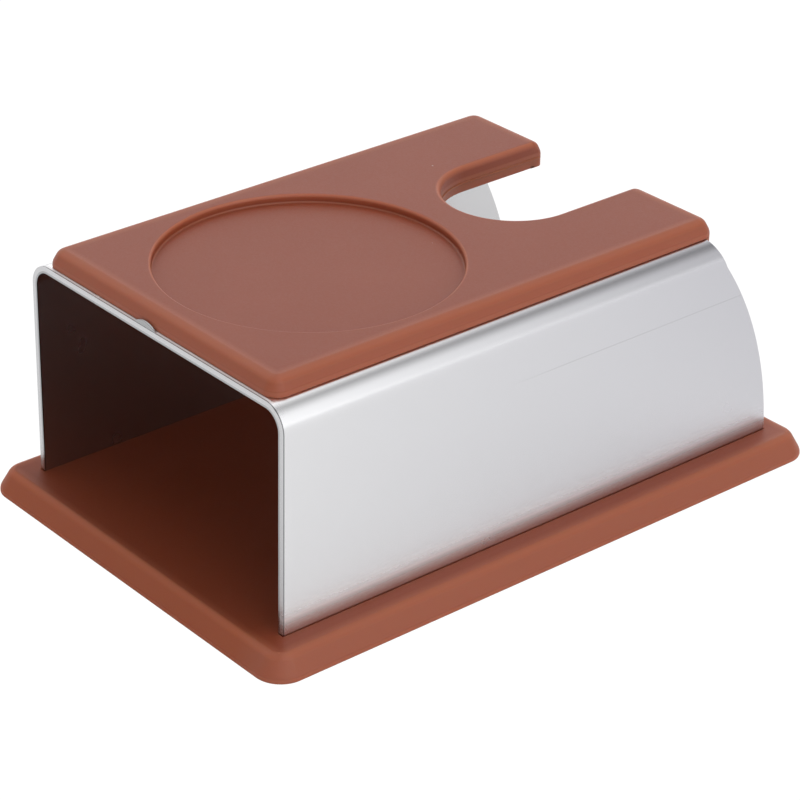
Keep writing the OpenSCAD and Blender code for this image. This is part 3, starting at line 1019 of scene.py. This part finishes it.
def sweep_round_notch(bm, points, plan, length):
    """Adds a bar with the given x, z section that runs from one arm's end round the notch to the other's."""
    bar = bmesh.new()
    verts = [bar.verts.new((-x, plan.notch_y, z)) for x, z in points]
    ring = [bar.edges.new(pair) for pair in zip(verts, verts[1:] + verts[:1])]
    turned = bmesh.ops.spin(bar, geom=verts + ring, cent=(0, plan.notch_y, 0), axis=(0, 0, 1),
                            dvec=(0, 0, 0), angle=math.pi, steps=72, use_merge=False,
                            use_duplicate=False)["geom_last"]
    for edges in (ring, edges_in(turned)):
        made = bmesh.ops.extrude_edge_only(bar, edges=edges)["geom"]
        far = verts_in(made)
        move(bar, far, (0, length, 0))
        end = [e for e in edges_in(made) if all(v in far for v in e.verts)]
        bmesh.ops.contextual_create(bar, geom=end)
    bmesh.ops.recalc_face_normals(bar, faces=bar.faces)
    join(bm, bar)


def add_notch_rim(bm, plan):
    """Adds the rim that drops through the steel's notch, with its lip under the steel."""
    sizes = settings().top_mat
    low, lip, edge = plan.low_z, mm(sizes.lip), mm(sizes.lip_edge)
    inner = plan.notch_half
    outer = inner + mm(sizes.rim)
    tip = outer + mm(sizes.lip_reach)
    section = [(inner, plan.bottom), (inner, low + edge), (inner + edge, low), (tip, low),
               (tip, low + lip), (outer, low + lip), (outer, plan.bottom)]
    sweep_round_notch(bm, section, plan, plan.back - plan.notch_y)


def add_seam(bm, plan):
    """Adds the fine bead that runs round the notch wall, level with the steel."""
    section = arc_points((plan.notch_half, plan.bottom), mm(settings().top_mat.seam), 0, 330, 11)
    sweep_round_notch(bm, section, plan, plan.high_y - plan.arm_corner - plan.notch_y)


def add_back_strips(bm, plan):
    """Adds the two strips behind the top plate, each with its lip forward under the steel."""
    sizes, steel = settings().top_mat, settings().steel
    low, lip, spare = plan.low_z, mm(sizes.lip), 5.0
    flat_w = mm(steel.width) / 2 - mm(steel.sheet) - mm(steel.bend)
    strip = bmesh.new()
    notched_outline(strip, plan, plan.notch_y - plan.notch_half - spare, low)
    cut(strip, whole(strip), (0, plan.back, 0), (0, -1, 0), clear_outer=True)
    for x in (-flat_w, flat_w):
        cut(strip, whole(strip), (x, 0, 0), (1, 0, 0))
    lower = bmesh.ops.extrude_face_region(strip, geom=strip.faces[:])["geom"]
    move(strip, verts_in(lower), (0, 0, lip))
    upper = bmesh.ops.extrude_face_region(strip, geom=faces_in(lower))["geom"]
    move(strip, verts_in(upper), (0, 0, plan.bottom - low - lip))
    inner = [f for f in faces_in(lower) if f.is_valid]
    bmesh.ops.delete(strip, geom=inner, context="FACES_ONLY")
    bmesh.ops.recalc_face_normals(strip, faces=strip.faces)
    tongue = [f for f in strip.faces if f.normal.y < -0.99 and mid(f).z < low + lip
              and abs(mid(f).x) < flat_w]
    made = bmesh.ops.extrude_face_region(strip, geom=tongue)["geom"]
    move(strip, verts_in(made), (0, -mm(sizes.lip_reach), 0))
    bmesh.ops.delete(strip, geom=[f for f in tongue if f.is_valid], context="FACES_ONLY")
    bmesh.ops.delete(strip, geom=[e for e in strip.edges if not e.link_faces], context="EDGES")
    join(bm, strip)


def join(bm, other):
    """Adds a finished shell to the mesh and frees it."""
    mesh = bpy.data.meshes.new("shell")
    other.to_mesh(mesh)
    other.free()
    bm.from_mesh(mesh)
    bpy.data.meshes.remove(mesh)


# The studio


def place_camera():
    """The camera that the photograph was taken with, found from the lines and corners of the stand."""
    # Lengths are in the units of the camera's fit, whose origin lies below the steel's front edge
    unit, back_shift = 0.83793 * MM, 79.6347
    azimuth, elevation, roll = 0.9180408, 0.4971274, -0.0076801
    slide, rise, distance = -34.80676, -9.40364, 726.29341
    focal_pixels, picture_pixels, shift = 2874.249, 800, 0.2
    middle = Vector((0, 70, 35))
    level = math.cos(elevation)
    away = Vector((math.sin(azimuth) * level, -math.cos(azimuth) * level, math.sin(elevation)))
    right = (-away).cross(Vector((0, 0, 1))).normalized()
    up = right.cross(-away)
    target = middle + right * slide + up * rise
    place = target + away * distance
    side = right * math.cos(roll) + up * math.sin(roll)
    top = up * math.cos(roll) - right * math.sin(roll)
    data = bpy.data.cameras.new("Photo camera")
    data.sensor_width = 36.0
    data.lens = focal_pixels * data.sensor_width / picture_pixels
    data.shift_x = shift
    data.dof.use_dof = False
    data.clip_start = 0.01
    camera = bpy.data.objects.new("Photo camera", data)
    turn = Matrix((side, top, away)).transposed().to_4x4()
    camera.matrix_world = Matrix.Translation((place - Vector((0, back_shift, 0))) * unit) @ turn
    bpy.context.scene.collection.objects.link(camera)
    bpy.context.scene.camera = camera


def floor_material():
    """Pale floor that the camera sees evenly lit."""
    material = bpy.data.materials.new("Pale floor")
    material.use_nodes = True
    tree = material.node_tree
    tree.nodes.clear()
    out = tree.nodes.new("ShaderNodeOutputMaterial")
    shader = tree.nodes.new("ShaderNodeBsdfPrincipled")
    shader.inputs["Base Color"].default_value = (*settings().studio.floor, 1)
    shader.inputs["Roughness"].default_value = 0.9
    glow = tree.nodes.new("ShaderNodeEmission")
    glow.inputs["Color"].default_value = (1, 1, 1, 1)
    glow.inputs["Strength"].default_value = 1.06
    path = tree.nodes.new("ShaderNodeLightPath")
    mix = tree.nodes.new("ShaderNodeMixShader")
    share = times(tree, path.outputs["Is Camera Ray"], 0.94)
    tree.links.new(share, mix.inputs["Fac"])
    tree.links.new(shader.outputs["BSDF"], mix.inputs[1])
    tree.links.new(glow.outputs["Emission"], mix.inputs[2])
    tree.links.new(mix.outputs["Shader"], out.inputs["Surface"])
    return material


def surroundings(tree, way, sky):
    """Strength of the light from each direction of a white tent with the photographer's dark gaps in it."""
    x, y, z = axes_of(tree, way)
    even = math_node(tree, "ADD", times(tree, x, 0.38), 1.03)
    # A broad softbox behind on the left, mirrored in the mats' level faces
    aim = tree.nodes.new("ShaderNodeVectorMath")
    aim.operation = "DOT_PRODUCT"
    tree.links.new(way, aim.inputs[0])
    aim.inputs[1].default_value = (-0.70, 0.53, 0.48)
    lobe = math_node(tree, "POWER", math_node(tree, "MAXIMUM", aim.outputs["Value"], 0.0), 3.0)
    even = math_node(tree, "ADD", even, times(tree, lobe, 0.45))
    # Less light from the front and from behind on the right
    low = spread(tree, y, -0.9, -0.3, 0.65, 1.0)
    high = times(tree, spread(tree, y, -0.55, -0.05, 0.6, 0.0), spread(tree, z, 0.2, 0.6))
    front = times(tree, low, rest(tree, high))
    right = times(tree, spread(tree, x, -0.5, -0.05), spread(tree, z, 0.0, 0.22, 0.75, 1.0))
    back = rest(tree, times(tree, spread(tree, y, 0.46, 0.75, 0.0, 0.75), right))
    # A dark gap high up behind, mirrored in the bends
    gap = math_node(tree, "MINIMUM", spread(tree, x, -0.12, 0.20, 0.0, 0.70),
                    spread(tree, x, 0.20, 0.64, 0.70, 0.0))
    gap = times(tree, gap, spread(tree, y, 0.2, 0.45))
    gap = times(tree, gap, spread(tree, z, 0.3, 0.6))
    # A dim band low down behind on the right
    dim = times(tree, spread(tree, y, 0.60, 0.66, 0.0, 0.24), spread(tree, z, 0.20, 0.45, 1.0, 0.0))
    dim = times(tree, dim, spread(tree, z, 0.02, 0.18))
    gap = math_node(tree, "MAXIMUM", gap, times(tree, dim, spread(tree, x, 0.3, 0.6)))
    total = times(tree, times(tree, front, back), rest(tree, gap))
    return times(tree, times(tree, even, total), sky)


def build_floor(size):
    bm = bmesh.new()
    bmesh.ops.create_grid(bm, x_segments=1, y_segments=1, size=size / 2)
    mesh = bpy.data.meshes.new("studio_floor")
    bm.to_mesh(mesh)
    bm.free()
    floor = bpy.data.objects.new("studio_floor", mesh)
    bpy.context.scene.collection.objects.link(floor)
    mesh.materials.append(floor_material())


def build_world(sky):
    world = bpy.data.worlds.new("Studio")
    bpy.context.scene.world = world
    world.use_nodes = True
    tree = world.node_tree
    tree.nodes.clear()
    out = tree.nodes.new("ShaderNodeOutputWorld")
    shade = tree.nodes.new("ShaderNodeBackground")
    way = tree.nodes.new("ShaderNodeTexCoord").outputs["Generated"]
    tree.links.new(surroundings(tree, way, sky), shade.inputs["Strength"])
    shade.inputs["Color"].default_value = (1, 1, 1, 1)
    tree.links.new(shade.outputs["Background"], out.inputs["Surface"])


def build_studio():
    studio = settings().studio
    build_floor(studio.floor_size)
    build_world(studio.sky)
    scene = bpy.context.scene
    scene.view_settings.view_transform = "Standard"
    scene.view_settings.look = "None"
    place_camera()


class StandOperator:
    """What the stand's operators share."""
    bl_options = {"REGISTER", "UNDO"}


class MESH_OT_tamper_stand_base_mat(StandOperator, bpy.types.Operator):
    """Model the moulded base mat with its two slots"""
    bl_idname = "mesh.tamper_stand_base_mat"
    bl_label = "Base mat"

    def execute(self, context):
        model_base_mat()
        return {"FINISHED"}


class MESH_OT_tamper_stand_steel_frame(StandOperator, bpy.types.Operator):
    """Model the bent steel frame"""
    bl_idname = "mesh.tamper_stand_steel_frame"
    bl_label = "Steel frame"

    def execute(self, context):
        model_steel_frame()
        return {"FINISHED"}


class MESH_OT_tamper_stand_top_mat(StandOperator, bpy.types.Operator):
    """Model the moulded top mat with its recess, notch and rim"""
    bl_idname = "mesh.tamper_stand_top_mat"
    bl_label = "Top mat"

    def execute(self, context):
        model_top_mat()
        return {"FINISHED"}


class SCENE_OT_tamper_stand_studio(StandOperator, bpy.types.Operator):
    """Set up the floor, the light and the camera"""
    bl_idname = "scene.tamper_stand_studio"
    bl_label = "Studio"

    def execute(self, context):
        build_studio()
        return {"FINISHED"}


OPERATORS = (MESH_OT_tamper_stand_base_mat, MESH_OT_tamper_stand_steel_frame, MESH_OT_tamper_stand_top_mat,
             SCENE_OT_tamper_stand_studio)


class VIEW3D_PT_tamper_stand(bpy.types.Panel):
    """Buttons for each part of the stand"""
    bl_idname = "VIEW3D_PT_tamper_stand"
    bl_label = "Tamper stand"
    bl_space_type = "VIEW_3D"
    bl_region_type = "UI"
    bl_category = "Tamper stand"

    def draw(self, context):
        column = self.layout.column()
        for operator in OPERATORS:
            column.operator(operator.bl_idname)


CLASSES = (BaseMatSizes, FrameSizes, TopMatSizes, StandFinish, StudioValues, StandSettings, *OPERATORS,
           VIEW3D_PT_tamper_stand)


def register():
    for item in CLASSES:
        bpy.utils.register_class(item)
    bpy.types.Scene.tamper_stand = PointerProperty(type=StandSettings)


def unregister():
    del bpy.types.Scene.tamper_stand
    for item in reversed(CLASSES):
        bpy.utils.unregister_class(item)


def main():
    register()
    bpy.ops.mesh.tamper_stand_base_mat()
    bpy.ops.mesh.tamper_stand_steel_frame()
    bpy.ops.mesh.tamper_stand_top_mat()
    bpy.ops.scene.tamper_stand_studio()


if __name__ == "__main__":
    main()
